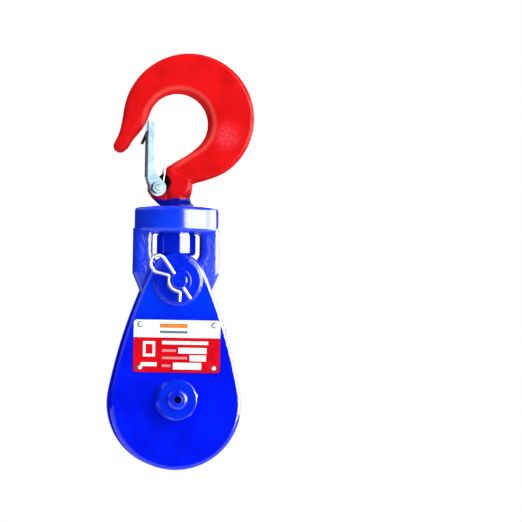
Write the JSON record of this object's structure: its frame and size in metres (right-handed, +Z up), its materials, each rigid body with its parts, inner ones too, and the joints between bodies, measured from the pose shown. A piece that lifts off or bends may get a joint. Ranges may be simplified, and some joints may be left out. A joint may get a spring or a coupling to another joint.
{
  "type": "snatch block",
  "caption": "Single-sheave snatch block for wire rope with a swivelling latch hook, forged yoke, side plates and a hairpin-locked load bolt.",
  "frame": {"origin": "centre of the hook's bowl, on the swivel's axis", "axes": "X right with the hook's mouth at -X, -Y to the front (nameplate side), Z up along the swivel's axis; the block hangs below the hook"},
  "size_m": [0.1375, 0.0943, 0.4068],
  "materials": {
    "red_paint": "gloss",
    "blue_paint": "gloss",
    "zinc_plate": "satin",
    "spring_wire": "bright",
    "bare_steel": "satin",
    "bronze": "satin",
    "plate_print": "satin",
    "rivet_metal": "satin"
  },
  "bodies": {
    "hook": {"hook": "red_paint", "swivel_nut": "blue_paint", "nut_cross_pin": "bare_steel", "swivel_thrust_washer": "bare_steel", "latch_bolt": "zinc_plate", "latch_washer": "zinc_plate", "latch_nut": "zinc_plate", "latch_spring": "spring_wire"},
    "latch": {"latch": "zinc_plate"},
    "yoke": {"yoke": "blue_paint"},
    "block": {"front_side_plate": "blue_paint", "rear_side_plate": "blue_paint", "bolt_disc": "blue_paint", "load_bolt": "blue_paint", "load_bolt_washer": "blue_paint", "hairpin": "spring_wire", "centre_pin": "blue_paint", "centre_pin_nut": "blue_paint", "grease_fitting": "bare_steel", "front_sheave_washer": "bare_steel", "rear_sheave_washer": "bare_steel", "nameplate": "plate_print", "nameplate_rivets": "rivet_metal"},
    "sheave": {"sheave": "blue_paint", "sheave_bushing": "bronze"}
  },
  "joints": [
    {"name": "latch_hinge", "type": "hinge", "parent": "hook", "child": "latch", "pos_m": [-0.02, 0, -0.0636], "axis": [0, 1, 0], "range_deg": [0, 45], "stiffness_Nm_per_rad": 0.15, "springref_deg": -34.38, "deforming": ["latch_spring"]},
    {"name": "hook_swivel", "type": "hinge", "parent": "hook", "child": "yoke", "pos_m": [0, 0, -0.1073], "axis": [0, 0, 1], "continuous": true},
    {"name": "yoke_swing", "type": "hinge", "parent": "yoke", "child": "block", "pos_m": [0, 0, -0.1545], "axis": [0, 1, 0], "range_deg": [-90, 90]},
    {"name": "sheave_spin", "type": "hinge", "parent": "block", "child": "sheave", "pos_m": [0, 0, -0.2698], "axis": [0, 1, 0], "continuous": true}
  ]
}
